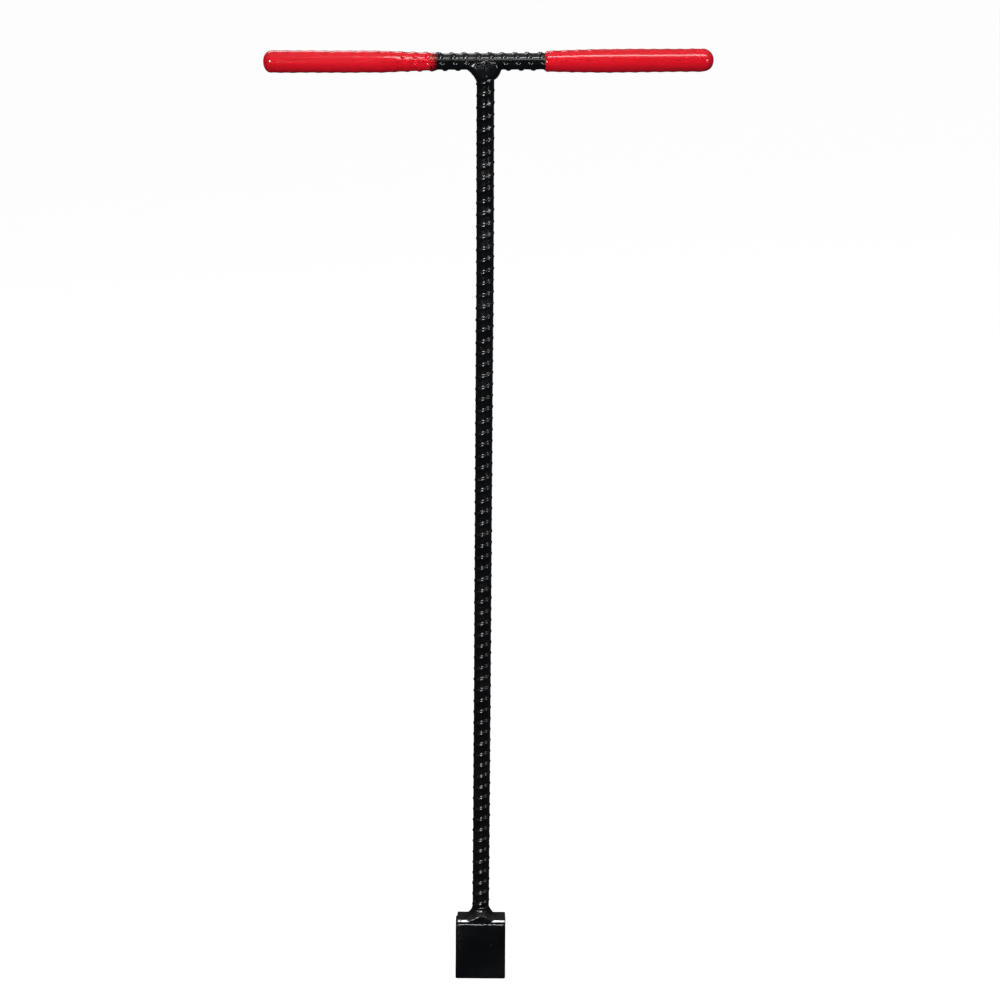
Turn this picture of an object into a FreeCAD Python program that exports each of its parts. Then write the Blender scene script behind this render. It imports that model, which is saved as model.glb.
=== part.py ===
"""T-handle post driver: a ribbed-bar shaft and crossbar, two dipped grips, and a rectangular socket.

Millimetres, +Z up, -Y is the front. The origin is the centre of the socket's mouth, on the shaft's axis,
so the tool stands on its socket with the T handle at the top.
"""

import FreeCAD, Part

import os
from math import cos, radians, sin

V = FreeCAD.Vector
UP = V(0, 0, 1)
ORIGIN = V(0, 0, 0)
DIAGONAL = cos(radians(45))

# Socket: a short piece of 2 x 1 inch box tube, open at the bottom, with a plate welded over the top
socket_width = 50.8
socket_depth = 25.4
socket_wall = 3.2
socket_corner = 2.2
socket_inner_corner = 0.8
socket_height = 58.7
rim_softening = 0.4

plate_width = 49.0
plate_depth = 24.4
plate_offset = 0.6
plate_thickness = 4.8
plate_corner = 1.5
plate_edge = 1.2
plate_bevel = 1.3
seam_height = 1.8
seam_corner = 2.0
seam_shoulder = 0.55

# Ribbed bar, 5/8 inch class: a round core, two ribs along it and slanted lugs between the ribs
core_diameter = 15.3
lug_diameter = 17.8
lug_thickness = 2.4
lug_slant = 20.0
lug_full_half_angle = 62.0
lug_end_half_angle = 81.0
lug_root_depth = 1.5
lug_toe_depth = 0.05
rib_diameter = 17.2
rib_width = 3.0

shaft_length = 867.0
shaft_lug_pitch = 11.5
shaft_first_lug = 4.7
shaft_rib_turn = 20.0
shaft_seat = 1.0

# Handle: its bar is a little off centre and a little out of square, as welded
cross_bar_length = 422.0
cross_bar_lug_pitch = 12.05
cross_bar_first_lug = 7.1
cross_bar_rib_turn = -14.0
handle_offset = 2.6
handle_tilt = 0.6

grip_end_cover = 3.0
grip_inner_end = {"left": -45.5, "right": 56.8}
left_grip_diameter = 20.4
left_grip_lip_diameter = 18.0
left_grip_taper = 65.0
right_grip_diameter = 22.2
right_grip_lip_diameter = 20.0
right_grip_taper = 50.0
grip_lip_round = 1.4
grip_dome = 8.0
dome_middle_along, dome_middle_out = 0.28, 0.74

# Welds: how far each bead reaches along the two pieces that it joins
left_weld_across, left_weld_down, left_weld_hollow = 11.5, 12.0, 2.4
right_weld_across, right_weld_down, right_weld_hollow = 7.5, 9.0, -0.6
handle_weld_coat = 0.5
handle_weld_width = 11.0
handle_weld_top = 2.5
handle_weld_root = 2.0
handle_weld_buried = 1.8
wrap_share_across, wrap_share_down = 0.45, 0.55
base_weld_across, base_weld_up, base_weld_hollow = 7.0, 10.0, 0.9
base_weld_coat = 0.2
weld_room = 60.0

# Places worked out from the sizes above
core_radius = core_diameter / 2
lug_radius = lug_diameter / 2
plate_top = socket_height + plate_thickness
handle_height = plate_top + shaft_length + core_radius
bar_left_end = handle_offset - cross_bar_length / 2
bar_right_end = handle_offset + cross_bar_length / 2


def polar(radius, degrees):
    """A point in the XY plane."""
    return V(radius * cos(radians(degrees)), radius * sin(radians(degrees)), 0)


def face_of(*edges):
    """A flat face inside a closed loop of edges, in any order."""
    return Part.Face(Part.Wire(Part.__sortEdges__([e.toShape() for e in edges])))


def rounded_block(width, depth, height, corner, base):
    """An upright block centred on the Z axis, with its four upright edges rounded."""
    block = Part.makeBox(width, depth, height, V(-width / 2, -depth / 2, base))
    upright = [e for e in block.Edges if abs(e.tangentAt(e.FirstParameter).z) > 0.99]
    return block.makeFillet(corner, upright)


def edges_at(shape, height):
    """The edges that lie flat at one height."""
    box_of = [(e, e.BoundBox) for e in shape.Edges]
    return [e for e, b in box_of if abs(b.ZMin - height) < 1e-3 and abs(b.ZMax - height) < 1e-3]


def lug_prism(length, facing):
    """An upright prism whose section is one lug seen end on: full height in the middle, sloping to nothing."""
    root = core_radius - lug_root_depth
    low, high = facing - lug_full_half_angle, facing + lug_full_half_angle
    first, last = facing - lug_end_half_angle, facing + lug_end_half_angle
    toe = core_radius - lug_toe_depth
    section = face_of(
        Part.Arc(polar(lug_radius, low), polar(lug_radius, facing), polar(lug_radius, high)),
        Part.LineSegment(polar(lug_radius, high), polar(toe, last)),
        Part.LineSegment(polar(toe, last), polar(root, last)),
        Part.Arc(polar(root, last), polar(root, facing), polar(root, first)),
        Part.LineSegment(polar(root, first), polar(toe, first)),
        Part.LineSegment(polar(toe, first), polar(lug_radius, low)),
    )
    return section.extrude(UP * length)


def lugs(length, pitch, first, facing):
    """One side's row of lugs, all slanted the same way round the bar."""
    span = 2 * lug_diameter
    slabs = []
    height = first
    while height < length:
        slab = Part.makeBox(span, span, lug_thickness, V(-span / 2, -span / 2, -lug_thickness / 2))
        slab.rotate(ORIGIN, polar(1, facing), lug_slant)
        slab.translate(UP * height)
        slabs.append(slab)
        height += pitch
    return lug_prism(length, facing).common(Part.makeCompound(slabs)).Solids


def ribbed_bar(length, pitch, first, facing):
    """A bar along +Z from the origin. One row of lugs faces the given direction, the other faces away from
    it half a pitch further on, and a rib runs along the bar on each side between them."""
    core = Part.makeCylinder(core_radius, length)
    rib_envelope = Part.makeCylinder(rib_diameter / 2, length)
    rib_slab = Part.makeBox(rib_diameter, rib_width, length, V(-rib_diameter / 2, -rib_width / 2, 0))
    rib_slab.rotate(ORIGIN, UP, facing + 90)
    raised = [rib_envelope.common(rib_slab)]
    raised += lugs(length, pitch, first, facing)
    raised += lugs(length, pitch, first + pitch / 2 - (pitch if first > pitch / 2 else 0), facing + 180)
    return core.multiFuse(raised).removeSplitter()


def in_handle_place(shape):
    """Move a piece built round the crossbar's own axis, at height 0, to its place at the top of the shaft."""
    placed = shape.copy()
    placed.rotate(ORIGIN, V(0, 1, 0), -handle_tilt)
    placed.translate(UP * handle_height)
    return placed


def make_cross_bar():
    """The crossbar along X at height 0: lugs face up and down, and its front rib lies a little above the middle."""
    bar = ribbed_bar(cross_bar_length, cross_bar_lug_pitch, cross_bar_first_lug, 180 + cross_bar_rib_turn)
    bar.rotate(ORIGIN, V(0, 1, 0), 90)
    bar.translate(V(bar_left_end, 0, 0))
    return bar


def make_shaft_bar(cross_bar):
    """The upright bar, with a shallow saddle in its top where the crossbar sits."""
    bar = ribbed_bar(shaft_length + shaft_seat, shaft_lug_pitch, shaft_first_lug, 270 + shaft_rib_turn)
    bar.translate(UP * plate_top)
    return bar.cut(cross_bar)


def make_socket_tube():
    tube = rounded_block(socket_width, socket_depth, socket_height, socket_corner, 0)
    tube = tube.makeFillet(rim_softening, edges_at(tube, 0))
    hollow = rounded_block(
        socket_width - 2 * socket_wall,
        socket_depth - 2 * socket_wall,
        socket_height,
        socket_inner_corner,
        0,
    )
    return tube.cut(hollow)


def make_cap_plate():
    """The plate sits a little to the right. It has softened top edges, and a bevel that the seam weld fills."""
    plate = rounded_block(plate_width, plate_depth, plate_thickness, plate_corner, socket_height)
    plate.translate(V(plate_offset, 0, 0))
    plate = plate.makeFillet(plate_edge, edges_at(plate, plate_top))
    return plate.makeChamfer(plate_bevel, edges_at(plate, socket_height))


def make_cap_seam_weld(cap_plate):
    """The bead all round between the plate's bevel and the rim of the tube."""
    bead = rounded_block(socket_width, socket_depth, seam_height, seam_corner, socket_height)
    bead = bead.makeChamfer(seam_shoulder, edges_at(bead, socket_height + seam_height))
    core = Part.makeBox(
        socket_width - 2 * socket_wall,
        socket_depth - 2 * socket_wall,
        plate_thickness,
        V(socket_wall - socket_width / 2, socket_wall - socket_depth / 2, socket_height),
    )
    return bead.cut(cap_plate).cut(core)


def concave_collar(radius, across, along, hollow):
    """A ring round +Z at height 0: it reaches across at the bottom, and fades into the radius at the top."""
    foot, head = V(radius + across, 0, 0), V(radius, 0, along)
    inward = hollow * DIAGONAL
    middle = V(radius + across / 2 - inward, 0, along / 2 - inward)
    profile = face_of(
        Part.LineSegment(ORIGIN, foot),
        Part.Arc(foot, middle, head),
        Part.LineSegment(head, V(0, 0, along)),
        Part.LineSegment(V(0, 0, along), ORIGIN),
    )
    return profile.revolve(ORIGIN, UP, 360)


def make_shaft_base_weld(shaft_bar):
    """The collar of weld where the shaft stands on the plate, cut short by the plate's front and back."""
    coat = lug_radius + base_weld_coat
    collar = concave_collar(coat, base_weld_across, base_weld_up, base_weld_hollow)
    collar.translate(UP * plate_top)
    reach = plate_depth / 2 - plate_edge
    room = Part.makeBox(weld_room, 2 * reach, weld_room, V(-weld_room / 2, -reach, plate_top))
    return collar.common(room).cut(shaft_bar)


def make_handle_weld(side, across, down, hollow, cross_bar, shaft_bar):
    """One corner of the T joint, as a rounded web under the crossbar and half of the coat of weld that wraps
    both bars. side is -1 for the left and 1 for the right."""
    coat = lug_radius + handle_weld_coat
    under = handle_height - core_radius
    inner, outer = side * (core_radius - handle_weld_root), side * (coat + across)
    low, high = under - down, under + handle_weld_buried
    toe, corner = V(side * coat, 0, low), V(outer, 0, under)
    inward = hollow * DIAGONAL
    middle = V(side * (coat + across / 2 - inward), 0, under - down / 2 + inward)
    web = face_of(
        Part.LineSegment(V(inner, 0, low), toe),
        Part.Arc(toe, middle, corner),
        Part.LineSegment(corner, V(outer, 0, high)),
        Part.LineSegment(V(outer, 0, high), V(inner, 0, high)),
        Part.LineSegment(V(inner, 0, high), V(inner, 0, low)),
    )
    web = web.extrude(V(0, handle_weld_width, 0))
    web.translate(V(0, -handle_weld_width / 2, 0))
    wrap_low = under - down * wrap_share_down
    wrap_out = coat + across * wrap_share_across
    round_shaft = Part.makeCylinder(coat, handle_height - wrap_low, V(0, 0, wrap_low))
    round_bar = Part.makeCylinder(coat, wrap_out, V(0, 0, handle_height), V(side, 0, 0))
    joined = web.multiFuse([round_shaft, round_bar])
    room_left = 0 if side > 0 else -weld_room
    room_low = handle_height - handle_weld_top - weld_room
    room = Part.makeBox(weld_room, weld_room, weld_room, V(room_left, -weld_room / 2, room_low))
    bead = joined.common(room).cut(cross_bar).cut(shaft_bar)
    return max(bead.Solids, key=lambda solid: solid.Volume)


def grip_outline(tip, inner, radius, lip_radius, taper):
    """Half the outline of a grip along X: a domed tip, a straight grip, a taper and a rounded lip."""
    toward = 1 if inner > tip else -1
    knee = V(inner - toward * taper, radius, 0)
    shoulder = V(tip + toward * grip_dome, radius, 0)
    dome_middle = V(tip + toward * grip_dome * dome_middle_along, radius * dome_middle_out, 0)
    lip = V(inner - toward * grip_lip_round, lip_radius, 0)
    lip_foot = V(inner, lip_radius - grip_lip_round, 0)
    lip_inset = grip_lip_round * (1 - DIAGONAL)
    lip_middle = V(inner - toward * lip_inset, lip_radius - lip_inset, 0)
    return face_of(
        Part.Arc(V(tip, 0, 0), dome_middle, shoulder),
        Part.LineSegment(shoulder, knee),
        Part.LineSegment(knee, lip),
        Part.Arc(lip, lip_middle, lip_foot),
        Part.LineSegment(lip_foot, V(inner, 0, 0)),
        Part.LineSegment(V(inner, 0, 0), V(tip, 0, 0)),
    )


def make_grip(tip, inner, diameter, lip_diameter, taper, cross_bar):
    """A dipped vinyl grip round the crossbar's end, filled in between the lugs."""
    outline = grip_outline(tip, inner, diameter / 2, lip_diameter / 2, taper)
    return outline.revolve(ORIGIN, V(1, 0, 0), 360).cut(cross_bar)


def build():
    level_bar = make_cross_bar()
    cross_bar = in_handle_place(level_bar)
    shaft_bar = make_shaft_bar(cross_bar)
    cap_plate = make_cap_plate()
    left_grip = make_grip(
        bar_left_end - grip_end_cover,
        grip_inner_end["left"],
        left_grip_diameter,
        left_grip_lip_diameter,
        left_grip_taper,
        level_bar,
    )
    right_grip = make_grip(
        bar_right_end + grip_end_cover,
        grip_inner_end["right"],
        right_grip_diameter,
        right_grip_lip_diameter,
        right_grip_taper,
        level_bar,
    )
    return {
        "socket_tube": make_socket_tube(),
        "cap_plate": cap_plate,
        "cap_seam_weld": make_cap_seam_weld(cap_plate),
        "shaft_bar": shaft_bar,
        "shaft_base_weld": make_shaft_base_weld(shaft_bar),
        "cross_bar": cross_bar,
        "left_handle_weld": make_handle_weld(
            -1, left_weld_across, left_weld_down, left_weld_hollow, cross_bar, shaft_bar
        ),
        "right_handle_weld": make_handle_weld(
            1, right_weld_across, right_weld_down, right_weld_hollow, cross_bar, shaft_bar
        ),
        "left_grip": in_handle_place(left_grip),
        "right_grip": in_handle_place(right_grip),
    }


os.makedirs("parts", exist_ok=True)
for node, shape in build().items():
    shape.exportStep(f"parts/{node}.step")
    box = shape.BoundBox
    print(
        f"{node}: {len(shape.Solids)} solid, valid {shape.isValid()}, {shape.Volume:.0f} mm3,",
        f"{box.XLength:.1f} x {box.YLength:.1f} x {box.ZLength:.1f}",
    )
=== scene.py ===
"""Looks for the T-handle post driver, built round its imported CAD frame. Metres, +Z up, -Y is the front."""

from math import cos, pi, radians, sin, tan

import bmesh
import bpy
import numpy as np
from mathutils import Matrix, Vector


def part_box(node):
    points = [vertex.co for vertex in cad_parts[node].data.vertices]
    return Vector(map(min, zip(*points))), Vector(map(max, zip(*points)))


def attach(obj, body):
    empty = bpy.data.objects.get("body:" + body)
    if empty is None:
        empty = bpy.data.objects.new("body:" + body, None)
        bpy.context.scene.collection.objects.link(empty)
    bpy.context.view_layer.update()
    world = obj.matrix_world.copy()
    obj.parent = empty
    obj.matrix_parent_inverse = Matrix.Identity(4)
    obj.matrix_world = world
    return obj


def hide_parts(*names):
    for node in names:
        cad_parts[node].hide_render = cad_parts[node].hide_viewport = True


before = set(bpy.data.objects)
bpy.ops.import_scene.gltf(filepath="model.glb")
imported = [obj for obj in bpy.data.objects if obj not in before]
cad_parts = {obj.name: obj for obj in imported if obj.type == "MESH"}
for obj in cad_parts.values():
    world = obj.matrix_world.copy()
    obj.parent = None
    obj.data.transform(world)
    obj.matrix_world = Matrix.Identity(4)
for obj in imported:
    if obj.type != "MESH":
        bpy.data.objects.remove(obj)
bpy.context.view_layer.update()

MM = 0.001

# The ribbed bar's section: its core's radius, and how far the lugs and ribs stand out of it. A lug or a rib
# is flat for a first half-width and ends at a second. A lug keeps its height up to one angle from the middle
# of its row and is gone at another.
CORE = 7.75 * MM
LUG = 1.25 * MM
LUG_FLAT, LUG_FOOT = 0.4 * MM, 2.9 * MM
LUG_SLANT = radians(20)
LUG_FULL, LUG_END = radians(62), radians(83)
RIB = 0.95 * MM
RIB_FLAT, RIB_FOOT = 0.9 * MM, 2.0 * MM

# The lug patterns: pitch, distance of the first lug from the bar's start, and the angle that one row faces.
# The lugs' heights, and their places as a share of the pitch, vary by the two spreads.
SHAFT_PITCH, SHAFT_FIRST_LUG = 11.5 * MM, 4.7 * MM
BAR_PITCH, BAR_FIRST_LUG = 12.05 * MM, 7.1 * MM
SHAFT_FACING, BAR_FACING = radians(290), radians(166)
SHAFT_SEED, BAR_SEED = 3, 8
LUG_DRAWS = 128
LUG_HEIGHT_SPREAD, LUG_PLACE_SPREAD = 0.05, 0.012

# The unevenness of thick paint on a bar
PAINT_WAVE, PAINT_WAVE_SIZE = 0.05 * MM, 4 * MM

# Places taken from the frame. The shaft's top is saddled round the crossbar by SHAFT_SEAT.
tube_low, tube_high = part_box("socket_tube")
plate_low, plate_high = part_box("cap_plate")
bar_low, bar_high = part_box("cross_bar")
left_low, left_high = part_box("left_grip")
right_low, right_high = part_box("right_grip")
SHAFT_SEAT = 1.0 * MM
SHAFT_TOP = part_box("shaft_bar")[1].z
PLATE_TOP = plate_high.z
HANDLE_HEIGHT = SHAFT_TOP - SHAFT_SEAT + CORE

# How the bars depart from straight. The kink's place and reach are shares of the shaft's length.
HANDLE_TILT = radians(0.6)
HANDLE_SAG = 0.65 * MM
HALF_HANDLE = (bar_high.x - bar_low.x) / 2
SHAFT_BOW, SHAFT_KINK = 0.4 * MM, 0.35 * MM
KINK_PLACE, KINK_REACH = 0.77, 0.1

# Socket tube and cap plate
WALL = 3.2 * MM
TUBE_CORNER = 2.2 * MM
INNER_CORNER = 0.8 * MM
PLATE_CORNER = 0.7 * MM
SEAM_HEIGHT = tube_high.z

# Welds: the step of the grid that they are shaped on, and the usual size of their lumps
WELD_GRID = 0.42 * MM
WELD_LUMP = 5 * MM


# --- helpers -------------------------------------------------------------------------------------


def smoothstep(low, high, value):
    """0 below low, 1 above high, and a smooth rise between."""
    t = np.clip((value - low) / (high - low), 0, 1)
    return t * t * (3 - 2 * t)


def blend(low, high, share):
    """low where share is 0, high where it is 1."""
    return low + (high - low) * share


def lumps(points, size, seed, waves=24):
    """Smooth random bumps from about -1 to 1 over points, each bump about one size across."""
    random = np.random.default_rng(seed)
    way = random.normal(size=(waves, 3))
    way /= np.linalg.norm(way, axis=1)[:, None]
    way *= random.uniform(0.6, 1.5, (waves, 1)) * pi / size
    phase = random.uniform(0, 2 * pi, waves)
    total = np.zeros(points.shape[:-1])
    for w, p in zip(way, phase):
        total += np.sin(points @ w + p)
    return total / np.sqrt(waves)


def wrap(angle):
    """An angle brought between -pi and pi."""
    return (angle + pi) % (2 * pi) - pi


def add_mesh(name, points, faces):
    """A smooth-shaded mesh object whose faces all point outwards."""
    mesh = bpy.data.meshes.new(name)
    mesh.from_pydata(points.reshape(-1, 3).tolist(), [], faces)
    built = bmesh.new()
    built.from_mesh(mesh)
    bmesh.ops.recalc_face_normals(built, faces=built.faces)
    built.to_mesh(mesh)
    built.free()
    mesh.shade_smooth()
    piece = bpy.data.objects.new(name, mesh)
    bpy.context.scene.collection.objects.link(piece)
    return piece


def ring_faces(rows, columns, close_rows=False):
    """Quads between neighbouring rings. close_rows joins the last ring to the first."""
    index = np.arange(rows * columns).reshape(rows, columns)
    ahead = np.roll(index, -1, axis=1)
    if close_rows:
        quads = np.stack([index, ahead, np.roll(ahead, -1, axis=0), np.roll(index, -1, axis=0)], -1)
    else:
        quads = np.stack([index[:-1], ahead[:-1], ahead[1:], index[1:]], -1)
    return quads.reshape(-1, 4).tolist()


def add_tube(name, rings):
    """A closed skin over a stack of rings, with a flat cap at each end."""
    rows, columns = rings.shape[:2]
    faces = ring_faces(rows, columns)
    faces.append(list(range(columns))[::-1])
    faces.append(list(range((rows - 1) * columns, rows * columns)))
    return add_mesh(name, rings, faces)


def finish_piece(piece, material, slot, *nodes):
    """Gives a piece its material, sets it on the frame and hides the CAD nodes that it stands for."""
    piece.data.materials.append(material)
    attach(piece, "root")
    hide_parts(*nodes)


# --- ribbed bars ---------------------------------------------------------------------------------


def bar_relief(turn, along, pitch, first, facing, seed):
    """How far the lugs and ribs stand out of a bar's core, over angles round it and places along it."""
    random = np.random.default_rng(seed)
    relief = np.zeros(np.broadcast(turn, along).shape)
    for side in (0, 1):
        off = wrap(turn - facing - pi * side)
        slide = along - first - side * pitch / 2 - tan(LUG_SLANT) * CORE * np.sin(off)
        number = np.round(slide / pitch).astype(int)
        height = 1 + LUG_HEIGHT_SPREAD * random.normal(size=LUG_DRAWS)[number % LUG_DRAWS]
        shift = LUG_PLACE_SPREAD * pitch * random.normal(size=LUG_DRAWS)[number % LUG_DRAWS]
        across = np.abs(slide - shift - number * pitch) * cos(LUG_SLANT)
        lug = LUG * height * (1 - smoothstep(LUG_FLAT, LUG_FOOT, across))
        lug *= 1 - smoothstep(LUG_FULL, LUG_END, np.abs(off))
        rib_across = CORE * np.abs(wrap(turn - facing - pi / 2 - pi * side))
        rib = RIB * (1 - smoothstep(RIB_FLAT, RIB_FOOT, rib_across))
        relief = (relief**4 + lug**4 + rib**4) ** 0.25
    return relief


def bar_rings(length, pitch, first, facing, step, columns, seed):
    """Rings up a ribbed bar that stands on the origin, with the slight unevenness of thick paint. step is
    the distance between rings, and columns is the number of points on each."""
    turn = np.linspace(0, 2 * pi, columns, endpoint=False)[None, :]
    along = np.linspace(0, length, int(length / step))[:, None]
    relief = bar_relief(turn, along, pitch, first, facing, seed)
    radius = CORE + relief
    rings = np.stack([radius * np.cos(turn), radius * np.sin(turn), along + 0 * turn], -1)
    radius = radius + PAINT_WAVE * lumps(rings, PAINT_WAVE_SIZE, seed + 1)
    return np.stack([radius * np.cos(turn), radius * np.sin(turn), along + 0 * turn], -1)


def level_to_handle(points):
    """Points built along Z as a bar, laid along X and set on top of the shaft with the handle's tilt. The
    bar sags a little between its ends."""
    laid = np.stack([points[..., 2], points[..., 1], -points[..., 0]], -1)
    laid[..., 2] -= HANDLE_SAG * np.cos(np.clip(laid[..., 0] / HALF_HANDLE, -1, 1) * pi / 2)
    x, z = laid[..., 0].copy(), laid[..., 2].copy()
    laid[..., 0] = x * cos(HANDLE_TILT) - z * sin(HANDLE_TILT)
    laid[..., 2] = x * sin(HANDLE_TILT) + z * cos(HANDLE_TILT) + HANDLE_HEIGHT
    return laid


def make_shaft_bar():
    length = SHAFT_TOP - PLATE_TOP
    rings = bar_rings(
        length, SHAFT_PITCH, SHAFT_FIRST_LUG, SHAFT_FACING, step=0.65 * MM, columns=72, seed=SHAFT_SEED
    )
    way = rings[..., 2] / length
    kink = np.exp(-(((way - KINK_PLACE) / KINK_REACH) ** 2))
    rings[..., 0] += SHAFT_BOW * np.sin(pi * way) + SHAFT_KINK * kink
    rings[..., 2] += PLATE_TOP
    return add_tube("shaft_rebar", rings)


def make_cross_bar():
    """Both ends are hidden in the grips, so they stop short of the domed tips."""
    hidden = 6 * MM
    length = bar_high.x - bar_low.x - 2 * hidden
    rings = bar_rings(
        length, BAR_PITCH, BAR_FIRST_LUG - hidden, BAR_FACING, step=0.5 * MM, columns=96, seed=BAR_SEED
    )
    rings[..., 2] += bar_low.x + hidden
    return add_tube("cross_rebar", level_to_handle(rings))


# --- grips ---------------------------------------------------------------------------------------


# A grip's mesh: points on a ring, the distance between rings, and the rings over the domed tip. A power of 2
# makes the dome an ellipse, and more makes it blunter.
GRIP_COLUMNS, GRIP_STEP = 112, 0.6 * MM
DOME_ROWS, DOME_FIRST = 24, 0.06
DOME_POWER = 2.15

# The swellings over hidden lugs, the slow and fine waves of the coat, its least thickness over the bar, and
# how the inner edge wanders
SWELL_SHARPNESS, SWELL_FULL = 1.6, radians(20)
SLOW_WAVE, SLOW_WAVE_SIZE = 0.08 * MM, 15 * MM
FINE_WAVE, FINE_WAVE_SIZE = 0.015 * MM, 4 * MM
LEAST_VINYL = 0.2 * MM
EDGE_WANDER_SIZE, EDGE_WANDER_REACH = 14 * MM, 20 * MM


def telegraph(turn, along):
    """The slow swellings that the lugs leave in a thick coat, along its top and bottom."""
    total = np.zeros(np.broadcast(turn, along).shape)
    for side in (0, 1):
        off = wrap(turn - BAR_FACING - pi * side)
        slide = along - BAR_FIRST_LUG - side * BAR_PITCH / 2 - tan(LUG_SLANT) * CORE * np.sin(off)
        wave = (0.5 + 0.5 * np.cos(2 * pi * slide / BAR_PITCH)) ** SWELL_SHARPNESS
        total += wave * (1 - smoothstep(SWELL_FULL, LUG_FULL, np.abs(off)))
    return total


def grip_rows(length, dome):
    """Distances from a grip's tip to its inner end, closer together over the domed tip."""
    tip = dome * (1 - np.cos(np.linspace(DOME_FIRST, pi / 2, DOME_ROWS)))
    body = np.linspace(dome, length, int(length / GRIP_STEP))
    return np.concatenate([tip, body[1:]])[:, None]


def grip_rings(tip, inner, skin, show, swell, dome, lip, edge_wander, seed):
    """Rings along a dipped grip, from its tip to its inner end. skin and show are functions of the distance
    to the inner end: the thickness of vinyl over the bar's core, and how much of the lugs shows through it.
    swell is the height of the slow swellings over the lugs where the coat is thick. dome and lip are the
    lengths of the rounded tip and of the rolled inner edge, and edge_wander is how ragged that edge is."""
    length = abs(inner - tip)
    toward = 1 if inner > tip else -1
    turn = np.linspace(0, 2 * pi, GRIP_COLUMNS, endpoint=False)[None, :]
    from_tip = grip_rows(length, dome)
    to_end = length - from_tip
    place = tip + toward * from_tip
    relief = bar_relief(turn, place - bar_low.x, BAR_PITCH, BAR_FIRST_LUG, BAR_FACING, BAR_SEED)
    body = CORE + skin(to_end) + show(to_end) * relief
    body = body + swell * (1 - show(to_end)) * telegraph(turn, place - bar_low.x)
    flat = np.stack([body * np.cos(turn), body * np.sin(turn), place + 0 * turn], -1)
    slow, fine = lumps(flat, SLOW_WAVE_SIZE, seed), lumps(flat, FINE_WAVE_SIZE, seed + 1)
    body = body + SLOW_WAVE * slow + FINE_WAVE * fine
    domed = (1 - (1 - np.clip(from_tip / dome, 0, 1)) ** DOME_POWER) ** (1 / DOME_POWER)
    rolled = np.sqrt(np.clip(1 - (1 - np.clip(to_end / lip, 0, 1)) ** 2, 0, 1))
    floor = CORE + LEAST_VINYL
    radius = np.where(to_end < lip, floor + (body - floor) * rolled, body * domed)
    wander = edge_wander * lumps(flat[-1:] * [1, 1, 0], EDGE_WANDER_SIZE, seed + 2)
    along = place + toward * wander * smoothstep(EDGE_WANDER_REACH, 0, to_end)
    rings = np.stack([radius * np.cos(turn), radius * np.sin(turn), along + 0 * turn], -1)
    inside_bar = 0.8
    plug = rings[-1:].copy()
    plug[..., :2] *= inside_bar
    return np.concatenate([rings, plug])


def make_left_grip():
    """The coat is thick at the tip and thins to a film that follows every lug."""

    def skin(to_end):
        film, coat, taper = 0.65 * MM, 2.4 * MM, 0.0018
        return blend(film, coat, smoothstep(6 * MM, 62 * MM, to_end)) + taper * to_end

    rings = grip_rings(
        left_low.x,
        left_high.x,
        skin=skin,
        show=lambda to_end: blend(0.75, 0.0, smoothstep(6 * MM, 50 * MM, to_end)),
        swell=0.3 * MM,
        dome=8 * MM,
        lip=0.6 * MM,
        edge_wander=0.9 * MM,
        seed=21,
    )
    return add_tube("left_vinyl_grip", level_to_handle(rings))


def make_right_grip():
    """A thicker coat with a rolled inner edge, fullest near the middle."""

    def skin(to_end):
        at_edge, fullest = 2.0 * MM, 3.25 * MM
        fuller = np.clip(to_end / (50 * MM), 0, 1) - 0.2 * smoothstep(85 * MM, 110 * MM, to_end)
        return blend(at_edge, fullest, fuller)

    rings = grip_rings(
        right_high.x,
        right_low.x,
        skin=skin,
        show=lambda to_end: 0.04 + 0 * to_end,
        swell=0.3 * MM,
        dome=11 * MM,
        lip=3.0 * MM,
        edge_wander=0.35 * MM,
        seed=34,
    )
    return add_tube("right_vinyl_grip", level_to_handle(rings))


# --- socket --------------------------------------------------------------------------------------


def rounded_rectangle(width, depth, corner, side_steps=12, corner_steps=8):
    """Points anticlockwise round a rectangle with rounded corners, in the XY plane."""
    points = []
    for quarter in range(4):
        start = quarter * pi / 2
        centre = np.array([width / 2 - corner, depth / 2 - corner])
        centre *= [1 if quarter in (0, 3) else -1, 1 if quarter in (0, 1) else -1]
        for angle in np.linspace(start, start + pi / 2, corner_steps + 1):
            points.append(centre + corner * np.array([cos(angle), sin(angle)]))
        run = width - 2 * corner if quarter in (0, 2) else depth - 2 * corner
        way = np.array([-cos(start), -sin(start)])
        last = points[-1]
        for step in range(1, side_steps):
            points.append(last + way * run * step / side_steps)
    return np.array(points)


def block_rings(low, high, corner, section, least_corner=0.1 * MM, front=1.0):
    """Rings round an upright rounded block: section lists (inset from the block's sides, height). front is
    how many times deeper the inset is along the front than along the other sides."""
    rings = []
    for inset, height in section:
        width, depth = high.x - low.x - 2 * inset, high.y - low.y - (1 + front) * inset
        loop = rounded_rectangle(width, depth, max(corner - inset, least_corner))
        middle = [(low.x + high.x) / 2, (low.y + high.y + (front - 1) * inset) / 2]
        rings.append(np.column_stack([loop + middle, np.full(len(loop), height)]))
    return np.array(rings)


def rounding(inset, height, radius, start, steps=5):
    """Points of a quarter circle in a block's section, for a softened edge. start is its first angle, in
    degrees."""
    return [
        (inset - radius * cos(radians(a)), height + radius * sin(radians(a)))
        for a in np.linspace(start, start + 90, steps)
    ]


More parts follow.
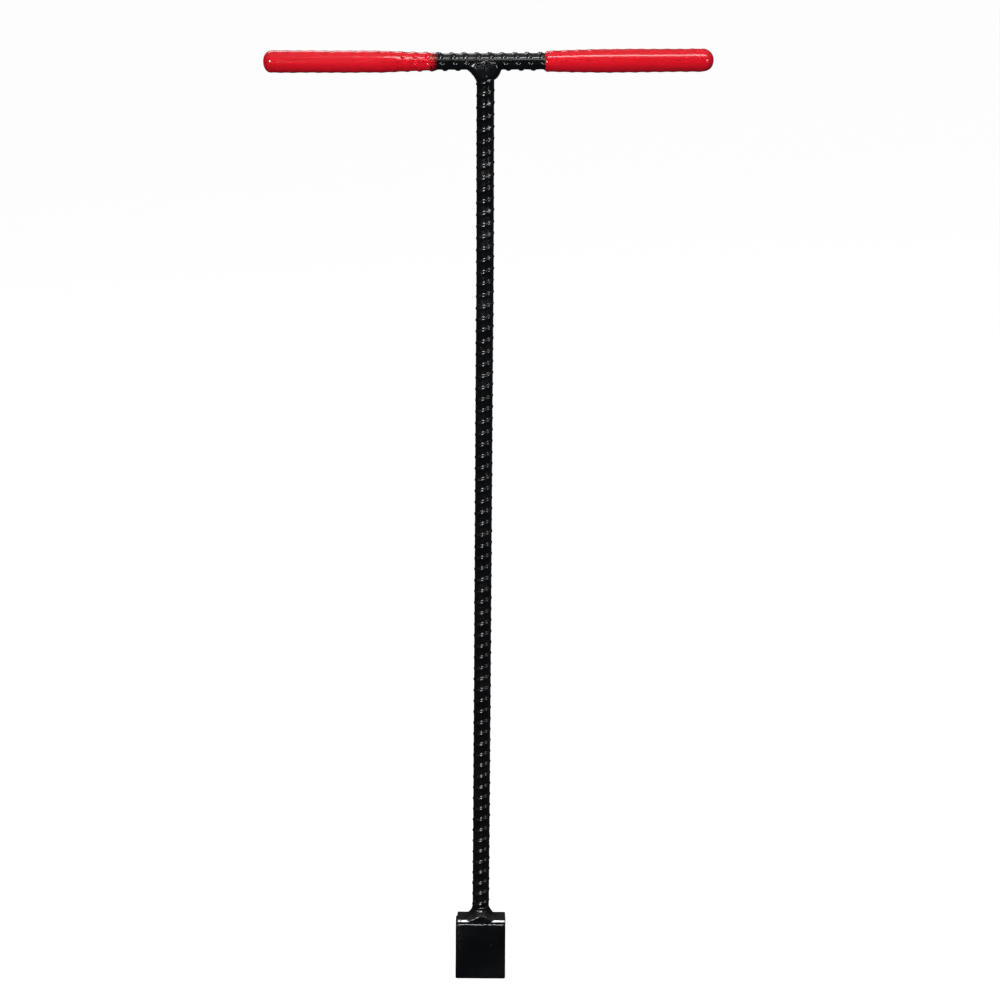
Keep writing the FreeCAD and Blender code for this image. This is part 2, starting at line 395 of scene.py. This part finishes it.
def make_socket_tube():
    """Box tube with softened rims; its wall is followed from the outside, over the top and down inside."""
    low, high = tube_low.z, tube_high.z
    rim, rows_up, waviness = 0.45 * MM, 22, 0.0012
    levels = np.linspace(low + 2 * rim, high - 2 * rim, rows_up)
    section = rounding(rim, low + rim, rim, -90)
    section += [(0, z) for z in levels]
    section += rounding(rim, high - rim, rim, 0)
    section += rounding(WALL - rim, high - rim, rim, 90)
    section += [(WALL, z) for z in levels[::-1]]
    section += rounding(WALL - rim, low + rim, rim, 180)
    rings = block_rings(tube_low, tube_high, TUBE_CORNER, section, INNER_CORNER)
    rings[..., :2] *= 1 - waviness * np.maximum(1 + lumps(rings, 16 * MM, seed=41)[..., None], 0)
    rows, columns = rings.shape[:2]
    return add_mesh("socket_box_tube", rings, ring_faces(rows, columns, close_rows=True))


def make_cap_plate():
    """Sheared plate: a worn slope along the top of the front edge, a bevel below for the seam weld, and
    slightly wavy faces. The slope is as deep as it is high at the front, and a fifth as deep elsewhere."""
    low, high = plate_low.z, plate_high.z
    fall, bevel, soft, waviness = 1.7 * MM, 1.3 * MM, 0.12 * MM, 0.04 * MM
    front = 5.0
    edge = fall / front
    below = np.linspace(plate_high.y - 0.4 * MM, 2 * MM, 8)
    above = np.linspace(edge + 2 * soft, 3.6 * MM, 8)
    shares = (0.03, 0.15, 0.35, 0.65, 0.85, 0.97)
    section = [(inset, low) for inset in below] + [(bevel, low), (bevel / 2, low + bevel / 2)]
    section += [(0, z) for z in np.linspace(low + bevel, high - fall - soft, 4)]
    lower = block_rings(plate_low, plate_high, PLATE_CORNER, section)
    section = [(edge * share, high - fall * (1 - share)) for share in shares]
    section += [(edge + soft, high)] + [(inset, high) for inset in above]
    upper = block_rings(plate_low, plate_high, PLATE_CORNER, section, front=front)
    rings = np.concatenate([lower, upper])
    uneven = waviness * np.maximum(1 + lumps(rings, 9 * MM, seed=51), 0)
    rings -= uneven[..., None] * np.sign(rings - rings.mean((0, 1)))
    return add_tube("cap_plate_steel", rings)


def make_seam_weld():
    """A thin bead all round the seam between plate and tube, with a sloping upper face. Its profile lists
    depths behind the tube's side and heights above the seam, in millimetres."""
    loop = rounded_rectangle(*(tube_high - tube_low)[:2], TUBE_CORNER, side_steps=60, corner_steps=12)
    out = np.roll(loop, -1, axis=0) - np.roll(loop, 1, axis=0)
    out = np.column_stack([out[:, 1], -out[:, 0]])
    out /= np.linalg.norm(out, axis=1)[:, None]
    run = np.cumsum(np.linalg.norm(loop - np.roll(loop, 1, axis=0), axis=1))
    at = np.column_stack([loop, np.full(len(loop), SEAM_HEIGHT)])
    scale_height, scale_length, lump_height = 0.05 * MM, 2.1 * MM, 0.09 * MM
    scales = scale_height * np.abs(np.sin(run * pi / scale_length))
    wave = scales + lump_height * lumps(at, WELD_LUMP, seed=61)
    profile = [(2.6, -0.9), (0.5, -0.9), (0.2, -0.6), (0.16, -0.2), (0.22, 0.1), (0.62, 0.5)]
    profile += [(1.02, 0.9), (1.15, 1.2), (1.4, 1.5), (2.6, 1.5)]
    rings = []
    for inset, lift in profile:
        shift = np.minimum(wave - inset * MM, -0.02 * MM)[:, None] * out
        rings.append(np.column_stack([loop + shift, SEAM_HEIGHT + lift * MM + wave]))
    rings = np.array(rings)
    return add_mesh("cap_seam_bead", rings, ring_faces(len(profile), len(loop), close_rows=True))


# --- welds ---------------------------------------------------------------------------------------


def soft_union(a, b, reach):
    """The nearer of two distances, with a fillet of about that reach where they meet."""
    near = np.maximum(reach - np.abs(a - b), 0) / reach
    return np.minimum(a, b) - near**3 * reach / 6


def weld_union(a, b, leg_a, leg_b, power):
    """The nearer of two distances, with a weld in the corner between them. A leg is how far the weld reaches
    along the other surface. A power of 2 gives it a round hollow, 1 a flat face, and less a bulge."""
    u, v = np.maximum(1 - a / leg_a, 0), np.maximum(1 - b / leg_b, 0)
    hollow = 1 - (u**power + v**power) ** (1 / power)
    depth = np.where(u + v > 0, hollow, np.minimum(a / leg_a, b / leg_b))
    return depth * np.where(u + v > 0, (u * leg_a + v * leg_b) / np.maximum(u + v, 1e-9), min(leg_a, leg_b))


def soft_cut(a, b, reach):
    """The further of two distances, with a rounded edge of about that reach."""
    return -soft_union(-a, -b, reach)


def grid_points(low, high, step):
    """Points of a cubic grid that fills a box."""
    axes = [np.arange(a, b + step, step) for a, b in zip(low, high)]
    return np.stack(np.meshgrid(*axes, indexing="ij"), -1)


CORNERS = np.array([(i, j, k) for i in (0, 1) for j in (0, 1) for k in (0, 1)])
CELL_EDGES = [(a, b) for a in range(8) for b in range(a) if np.abs(CORNERS[a] - CORNERS[b]).sum() == 1]


def add_field_mesh(name, field, points):
    """The skin of the places where a field on a grid of points is negative: one vertex to a crossed cell."""
    low, step = points[0, 0, 0], points[1, 1, 1] - points[0, 0, 0]
    shape = np.array(field.shape)
    inside = field < 0
    filled = np.zeros(shape - 1, dtype=int)
    for i, j, k in CORNERS:
        filled += inside[i : shape[0] - 1 + i, j : shape[1] - 1 + j, k : shape[2] - 1 + k]
    crossed = (filled > 0) & (filled < 8)
    cells = np.argwhere(crossed)
    number = np.full(crossed.shape, -1)
    number[crossed] = np.arange(len(cells))
    total, count = np.zeros((len(cells), 3)), np.zeros((len(cells), 1))
    for a, b in CELL_EDGES:
        at_a, at_b = field[tuple((cells + CORNERS[a]).T)], field[tuple((cells + CORNERS[b]).T)]
        cross = (at_a < 0) != (at_b < 0)
        share = np.where(cross, at_a / np.where(cross, at_a - at_b, 1), 0)[:, None]
        total += np.where(cross[:, None], CORNERS[a] + share * (CORNERS[b] - CORNERS[a]), 0)
        count += cross[:, None]
    places = low + (cells + total / count) * step
    faces = []
    for axis in range(3):
        u, v = [i for i in range(3) if i != axis]
        change = np.diff(inside.astype(int), axis=axis) != 0
        spots = np.argwhere(change)
        spots = spots[(spots[:, u] > 0) & (spots[:, v] > 0)]
        spots = spots[(spots[:, u] < shape[u] - 1) & (spots[:, v] < shape[v] - 1)]
        back_u, back_v = np.eye(3, dtype=int)[u], np.eye(3, dtype=int)[v]
        around = [spots, spots - back_u, spots - back_u - back_v, spots - back_v]
        faces += np.stack([number[tuple(cell.T)] for cell in around], -1).tolist()
    piece = add_mesh(name, places, faces)
    smoothed = bmesh.new()
    smoothed.from_mesh(piece.data)
    for _ in range(2):
        bmesh.ops.smooth_vert(
            smoothed, verts=smoothed.verts, factor=0.5, use_axis_x=True, use_axis_y=True, use_axis_z=True
        )
    smoothed.to_mesh(piece.data)
    smoothed.free()
    return piece


def ripples(seam_run, across, spacing, height):
    """The overlapping scales along a weld bead: steep on one side, and bowed across the bead."""
    phase = (seam_run + across**2 * 0.05 / MM) / spacing
    return height * (0.5 - (phase % 1)) * smoothstep(0, 0.15, phase % 1)


def make_handle_weld(name, side, leg_across, leg_down, power, seed):
    """One corner of the T joint. The weld fills the corner, and wraps round the front and back of both bars
    to meet the weld from the other side."""
    cover, front, half_depth = CORE + 0.6 * MM, 9.2 * MM, 10.5 * MM
    past_middle, past_leg, over_bar = 5 * MM, 4 * MM, 5 * MM
    reach_x, reach_z = cover + leg_across, cover + leg_down
    inner, outer = -side * past_middle, side * (reach_x + past_leg)
    low = np.array([min(inner, outer), -half_depth, -reach_z - past_leg])
    high = np.array([max(inner, outer), half_depth, over_bar])
    p = grid_points(low, high, WELD_GRID)
    x, y, z = p[..., 0], p[..., 1], p[..., 2]
    bar, shaft = np.hypot(y, z) - cover, np.hypot(x, y) - cover
    shape = weld_union(bar, shaft, leg_down, leg_across, power)
    turn = np.arctan2(y, x * side)
    shape -= ripples(turn * 11 * MM, z + cover, spacing=2.3 * MM, height=0.16 * MM)
    shape -= 0.14 * MM * lumps(p, WELD_LUMP, seed)
    # The bead is kept inside an oval, ends in a ragged line just past the shaft's middle, and is flattened in
    # front and behind
    top = 2.5 * MM + 1.5 * MM * lumps(p * [1, 0, 0], 9 * MM, seed + 3)
    below = np.where(z < -cover, (z + cover) / (leg_down + 1.2 * MM), (z + cover) / (cover + top))
    oval = np.sqrt((x / (reach_x + 1.5 * MM)) ** 2 + (y / (9.9 * MM)) ** 2 * 0.35 + below**2)
    oval = (oval - 1) * 8 * MM + 0.35 * MM * lumps(p, WELD_LUMP, seed + 1)
    middle = -x * side - 2.0 * MM - 0.6 * MM * lumps(p, WELD_LUMP, seed + 2)
    fronts = np.abs(y) - front - 0.25 * MM * lumps(p, WELD_LUMP, seed + 4)
    shape = soft_cut(shape, oval, reach=1.2 * MM)
    shape = soft_cut(shape, middle, reach=1.0 * MM)
    shape = soft_cut(shape, fronts, reach=2.5 * MM)
    p[..., 2] += HANDLE_HEIGHT
    return add_field_mesh(name, shape, p)


def make_base_weld():
    """The collar where the shaft stands on the plate. It runs over the plate's front edge a little, but not
    past the tube's front."""
    half_width, half_depth, under, over = 20 * MM, 12.66 * MM, 5.2 * MM, 15 * MM
    low, high = np.array([-half_width, -half_depth, -under]), np.array([half_width, half_depth, over])
    p = grid_points(low, high, WELD_GRID)
    x, y, z = p[..., 0], p[..., 1], p[..., 2]
    cover = 0.9 * MM
    shaft = np.hypot(x, y) - CORE - cover
    half, middle = (plate_high - plate_low) / 2, (plate_high + plate_low) / 2
    past = [np.abs(x - middle.x) - half.x, np.abs(y - middle.y) - half.y - 0.1 * MM, z - 0.3 * MM]
    past = np.stack(past, -1)
    plate = np.linalg.norm(np.maximum(past, 0), axis=-1) + np.minimum(past.max(-1), 0)
    shape = weld_union(plate, shaft, leg_a=10.5 * MM, leg_b=8.0 * MM, power=1.35)
    turn = np.arctan2(y, x)
    shape -= ripples(turn * 11.5 * MM, np.hypot(x, y) - CORE, spacing=2.4 * MM, height=0.3 * MM)
    shape -= 0.3 * MM * lumps(p, 4.5 * MM, seed=81)
    wide = 17.5 * MM + 0.8 * MM * lumps(p, 6 * MM, seed=82)
    tall = np.where(z > 0, 14 * MM, 4.6 * MM)
    oval = (np.sqrt((np.hypot(x, y) / wide) ** 2 + (z / tall) ** 2) - 1) * 8 * MM
    shape = soft_cut(shape, oval, reach=1.2 * MM)
    shape = soft_cut(shape, np.abs(y) - 12.45 * MM, reach=0.8 * MM)
    p[..., 2] += PLATE_TOP
    return add_field_mesh("shaft_base_bead", shape, p)


# --- materials -----------------------------------------------------------------------------------


class Shader:
    """A small helper for building one material's nodes."""

    def __init__(self, name):
        self.material = bpy.data.materials.new(name)
        self.material.use_nodes = True
        self.tree = self.material.node_tree
        self.surface = self.tree.nodes["Principled BSDF"]
        self.place = self.tree.nodes.new("ShaderNodeTexCoord").outputs["Object"]

    def node(self, kind, **inputs):
        """A new node. An underscore in an input's name stands for a space."""
        made = self.tree.nodes.new("ShaderNode" + kind)
        for key, value in inputs.items():
            self.set(made, key.replace("_", " "), value)
        return made

    def set(self, node, socket, value):
        if isinstance(value, bpy.types.NodeSocket):
            self.tree.links.new(value, node.inputs[socket])
        else:
            node.inputs[socket].default_value = value

    def noise(self, scale, detail=4, rough=0.55, vector=None):
        vector = vector or self.place
        made = self.node("TexNoise", Vector=vector, Scale=scale, Detail=detail, Roughness=rough)
        return made.outputs["Fac"]

    def cells(self, scale):
        made = self.node("TexVoronoi", Vector=self.place, Scale=scale)
        return made.outputs["Distance"]

    def ramp(self, value, low, high, start=0.0, end=1.0):
        """Maps a value from low..high to start..end, smoothly and clamped."""
        made = self.tree.nodes.new("ShaderNodeMapRange")
        made.interpolation_type = "SMOOTHSTEP"
        limits = {"Value": value, "From Min": low, "From Max": high, "To Min": start, "To Max": end}
        for socket, number in limits.items():
            self.set(made, socket, number)
        return made.outputs["Result"]

    def math(self, operation, a, b):
        made = self.tree.nodes.new("ShaderNodeMath")
        made.operation = operation
        self.set(made, 0, a)
        self.set(made, 1, b)
        return made.outputs[0]

    def mix(self, share, first, second):
        """The first colour where share is 0 and the second where it is 1."""
        made = self.tree.nodes.new("ShaderNodeMix")
        made.data_type = "RGBA"
        factor, colour_a, colour_b, result = 0, 6, 7, 2
        for socket, value in ((factor, share), (colour_a, first), (colour_b, second)):
            self.set(made, socket, value)
        return made.outputs[result]

    def bump(self, height, depth, under=None):
        made = self.node("Bump", Height=height, Distance=depth, Strength=1.0)
        if under is not None:
            self.set(made, "Normal", under)
        return made.outputs["Normal"]

    def paint(self, **sockets):
        for key, value in sockets.items():
            self.set(self.surface, key.replace("_", " "), value)
        return self.material


def black_enamel(name, chip_scale, chip_cut, peel=1.0, runs=False):
    """Thick glossy black paint: orange peel, duller smudges, and a few chips down to brown steel. peel is
    how deep the orange peel is. runs adds the sagging paint by the socket's left corner, above its foot."""
    s = Shader(name)
    smudge = s.noise(38, detail=5)
    fine = s.noise(420, detail=3)
    specks = s.ramp(s.noise(chip_scale, detail=6, rough=0.7), chip_cut, chip_cut + 0.03)
    patches = s.ramp(s.noise(60, detail=2), 0.5, 0.62)
    chips = s.math("MULTIPLY", specks, patches)
    deep_black, dusty_black = (0.0020, 0.0026, 0.0030, 1), (0.0050, 0.0058, 0.0064, 1)
    rust_brown, bare_steel = (0.045, 0.028, 0.018, 1), (0.10, 0.085, 0.075, 1)
    black = s.mix(s.ramp(smudge, 0.35, 0.7), deep_black, dusty_black)
    steel = s.mix(fine, rust_brown, bare_steel)
    rough = s.ramp(smudge, 0.35, 0.75, 0.12, 0.26)
    rough = s.math("ADD", rough, s.math("MULTIPLY", chips, 0.3))
    height = s.math("MULTIPLY", s.noise(160, detail=3), 0.4)
    height = s.math("ADD", height, s.math("MULTIPLY", s.noise(650, detail=2), 0.06))
    if runs:
        stretched = s.node("Mapping", Vector=s.place)
        stretched.inputs["Scale"].default_value = (1, 1, 0.5)
        sagging = s.noise(430, detail=3, vector=stretched.outputs[0])
        place = s.node("SeparateXYZ", Vector=s.place).outputs
        left = s.ramp(place["X"], -15.5 * MM, -19.5 * MM)
        upper = s.ramp(place["Z"], 12 * MM, 34 * MM)
        sagging = s.math("MULTIPLY", sagging, s.math("MULTIPLY", left, upper))
        height = s.math("ADD", height, s.math("MULTIPLY", sagging, 12.0))
    peel_depth, chip_depth = 0.2 * MM, 0.06 * MM
    paint_normal = s.bump(height, peel_depth * peel)
    chip_normal = s.bump(s.math("SUBTRACT", 1.0, chips), chip_depth, paint_normal)
    return s.paint(
        Base_Color=s.mix(chips, black, steel),
        Roughness=rough,
        Normal=chip_normal,
        Specular_IOR_Level=0.95,
    )


def red_vinyl(name, thin_end=None):
    """Dipped plastisol: strong red, soft gloss, slow waves, fine pits and a little grime. thin_end is where
    along X the coat thins out and the black bar darkens it."""
    s = Shader(name)
    cloud = s.noise(26, detail=3)
    fine = s.noise(300, detail=4)
    specks = s.ramp(s.cells(420), 0.05, 0.11, 1.0, 0.0)
    specks = s.math("MULTIPLY", specks, s.ramp(s.noise(70), 0.55, 0.68))
    deep_red, bright_red = (0.83, 0.006, 0.017, 1), (0.95, 0.010, 0.026, 1)
    grime, over_black = (0.20, 0.004, 0.006, 1), (0.055, 0.002, 0.004, 1)
    red = s.mix(cloud, deep_red, bright_red)
    red = s.mix(s.math("MULTIPLY", specks, 0.4), red, grime)
    if thin_end is not None:
        across = s.node("SeparateXYZ", Vector=s.place).outputs["X"]
        ragged = s.math("ADD", across, s.math("MULTIPLY", s.noise(190, detail=4), 12 * MM))
        thin = s.ramp(ragged, thin_end - 4 * MM, thin_end + 5 * MM)
        red = s.mix(s.math("MULTIPLY", thin, 0.93), red, over_black)
    rough = s.ramp(fine, 0.3, 0.75, 0.13, 0.24)
    height = s.math("ADD", s.noise(95, detail=2), s.math("MULTIPLY", s.noise(800, detail=2), 0.04))
    return s.paint(
        Base_Color=red,
        Roughness=rough,
        Normal=s.bump(height, 0.18 * MM),
        Specular_IOR_Level=0.62,
        Coat_Weight=0.15,
        Coat_Roughness=0.06,
    )


def pale_floor():
    """Nearly white, and bright enough by itself to keep the soft shadows faint."""
    s = Shader("pale_floor")
    base, glow = (0.35, 0.35, 0.35, 1), (0.92, 0.92, 0.92, 1)
    return s.paint(
        Base_Color=base, Roughness=0.9, Specular_IOR_Level=0.1, Emission_Color=glow, Emission_Strength=1.0
    )


def pale_backdrop():
    """Plain white that takes no shading."""
    s = Shader("pale_backdrop")
    pale = (0.97, 0.97, 0.97, 1)
    return s.paint(Base_Color=(0, 0, 0, 1), Roughness=1.0, Emission_Color=pale, Emission_Strength=1.0)


# --- stage ---------------------------------------------------------------------------------------


def make_floor():
    """A wide round floor with a plain backdrop at its edge. Neither shows in the gloss."""
    reach, height, columns = 13.0, 6.0, 64
    turn = np.linspace(0, 2 * pi, columns, endpoint=False)
    ring = np.column_stack([reach * np.cos(turn), reach * np.sin(turn), 0 * turn])
    floor = add_mesh("floor", ring, [list(range(columns))])
    floor.data.materials.append(pale_floor())
    wall = add_mesh("backdrop", np.array([ring, ring + [0, 0, height]]), ring_faces(2, columns))
    wall.data.materials.append(pale_backdrop())
    wall.visible_shadow = False
    for stage in (floor, wall):
        stage.visible_glossy = False
        stage.visible_diffuse = False


def add_light(name, place, target, width, height, radiance, spread=180):
    """A soft box at a place, turned to face a target. radiance is how bright its face looks from straight
    ahead. A spread below 180 degrees narrows its beam, as a grid does, and needs less energy for that."""
    half = radians(spread) / 2
    narrowed = 1 - half / tan(half) if spread < 180 else 1
    lamp = bpy.data.lights.new(name, "AREA")
    lamp.shape = "RECTANGLE"
    lamp.size, lamp.size_y = width, height
    lamp.spread = radians(spread)
    lamp.energy = radiance * pi * width * height * narrowed
    holder = bpy.data.objects.new(name, lamp)
    holder.location = place
    holder.rotation_euler = (Vector(target) - Vector(place)).to_track_quat("-Z", "Y").to_euler()
    bpy.context.scene.collection.objects.link(holder)


def make_lights():
    """A long soft box high in front and to the right, one on each side for the handle, one above and one
    low for the head, and one behind."""
    handle = (0, 0, HANDLE_HEIGHT)
    middle = (0, 0, HANDLE_HEIGHT / 2)
    plate_edge = (0, plate_low.y, PLATE_TOP)
    tube_left = (-0.02, -0.01, 0.04)
    key_across = 0.57
    key_place, key_target = (key_across, -0.75, HANDLE_HEIGHT + 1.3), (key_across, 0, HANDLE_HEIGHT)
    add_light("key_box", key_place, key_target, width=1.32, height=0.3, radiance=8.5)
    add_light("left_box", (-1.0, -2.2, 1.3), handle, width=0.75, height=0.75, radiance=24, spread=50)
    add_light("right_box", (1.9, -1.9, 1.15), handle, width=0.65, height=0.65, radiance=11, spread=50)
    add_light("head_box", (-0.02, -0.75, 1.8), plate_edge, width=0.4, height=0.26, radiance=34, spread=24)
    add_light("low_box", (-0.5, -2.0, 0.45), tube_left, width=0.6, height=0.6, radiance=24, spread=18)
    add_light("back_box", (-0.6, 1.6, 2.4), middle, width=1.2, height=0.5, radiance=5)


def make_world():
    """Bright overhead, dim near the horizon and dark below it, as a room with a lit ceiling is."""
    world = bpy.data.worlds.new("studio")
    world.use_nodes = True
    tree = world.node_tree
    direction = tree.nodes.new("ShaderNodeTexCoord").outputs["Generated"]
    split = tree.nodes.new("ShaderNodeSeparateXYZ")
    tree.links.new(direction, split.inputs[0])
    levels = tree.nodes.new("ShaderNodeValToRGB")
    below, zenith = levels.color_ramp.elements
    below.position, below.color = 0.49, (0.022, 0.027, 0.036, 1)
    zenith.position, zenith.color = 1.0, (0.3, 0.3, 0.3, 1)
    for position, level in ((0.53, 0.03), (0.68, 0.06), (0.85, 0.17)):
        levels.color_ramp.elements.new(position).color = (level, level, level * 1.03, 1)
    rise = tree.nodes.new("ShaderNodeMapRange")
    rise.inputs["From Min"].default_value = -1.0
    tree.links.new(split.outputs["Z"], rise.inputs["Value"])
    tree.links.new(rise.outputs["Result"], levels.inputs["Fac"])
    tree.links.new(levels.outputs["Color"], tree.nodes["Background"].inputs["Color"])
    tree.nodes["Background"].inputs["Strength"].default_value = 1.0
    bpy.context.scene.world = world


def make_camera():
    """A long lens in front of the tool, higher than the handle and tilted down a little."""
    lens = bpy.data.cameras.new("camera")
    lens.sensor_width, lens.lens = 36.0, 122.4
    lens.clip_end = 60
    camera = bpy.data.objects.new("camera", lens)
    down, roll = radians(15.68), radians(0.41)
    turn = Matrix.Rotation(pi / 2 - down, 3, "X") @ Matrix.Rotation(roll, 3, "Z")
    camera.rotation_euler = turn.to_euler()
    camera.location = (0.0167, -3.2257, 1.4101)
    bpy.context.scene.collection.objects.link(camera)
    bpy.context.scene.camera = camera


# --- build ---------------------------------------------------------------------------------------

bar_paint = black_enamel("black_enamel_on_bar", chip_scale=240, chip_cut=0.66, peel=0.45)
tube_paint = black_enamel("black_enamel_on_tube", chip_scale=180, chip_cut=0.64, peel=0.6, runs=True)
plate_paint = black_enamel("black_enamel_on_plate", chip_scale=180, chip_cut=0.64, peel=0.6)
weld_paint = black_enamel("black_enamel_on_weld", chip_scale=200, chip_cut=0.68, peel=0.4)
left_vinyl = red_vinyl("red_vinyl_left", thin_end=left_high.x)
right_vinyl = red_vinyl("red_vinyl_right")

finish_piece(make_shaft_bar(), bar_paint, "black_paint", "shaft_bar")
finish_piece(make_cross_bar(), bar_paint, "black_paint", "cross_bar")
finish_piece(make_left_grip(), left_vinyl, "red_vinyl", "left_grip")
finish_piece(make_right_grip(), right_vinyl, "red_vinyl", "right_grip")
finish_piece(make_socket_tube(), tube_paint, "black_paint", "socket_tube")
finish_piece(make_cap_plate(), plate_paint, "black_paint", "cap_plate")
finish_piece(make_seam_weld(), weld_paint, "painted_weld", "cap_seam_weld")
finish_piece(make_base_weld(), weld_paint, "painted_weld", "shaft_base_weld")
left_bead = make_handle_weld(
    "left_handle_bead", side=-1, leg_across=10.3 * MM, leg_down=12.5 * MM, power=1.3, seed=71
)
right_bead = make_handle_weld(
    "right_handle_bead", side=1, leg_across=6.6 * MM, leg_down=9.8 * MM, power=0.7, seed=75
)
finish_piece(left_bead, weld_paint, "painted_weld", "left_handle_weld")
finish_piece(right_bead, weld_paint, "painted_weld", "right_handle_weld")

make_floor()
make_world()
make_lights()
make_camera()
bpy.context.scene.view_settings.view_transform = "Standard"
